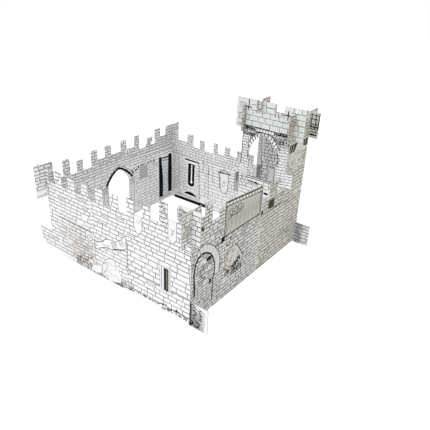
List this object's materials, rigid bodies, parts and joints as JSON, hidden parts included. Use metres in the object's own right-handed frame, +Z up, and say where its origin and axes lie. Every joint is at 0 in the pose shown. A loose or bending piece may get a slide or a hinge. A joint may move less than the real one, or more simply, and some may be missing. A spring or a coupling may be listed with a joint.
{
  "type": "cardboard toy castle",
  "caption": "Slot-together cardboard play castle: crenellated walls round a yard, a pointed doorway, a timber gate and a corner tower with a toothed head.",
  "frame": {"origin": "on the floor, under the middle of the castle's outline", "axes": "+Z up, +X from the doorway's wall to the gate wall, -Y out of the front wall"},
  "size_m": [0.51, 0.4972, 0.369],
  "materials": {
    "card": "matte"
  },
  "bodies": {
    "root": {"front_wall": "card", "gate_wall": "card", "left_wall": "card", "rear_wall": "card", "tower_front": "card", "head_front": "card", "head_right": "card", "head_rear": "card", "head_left": "card"}
  },
  "joints": []
}
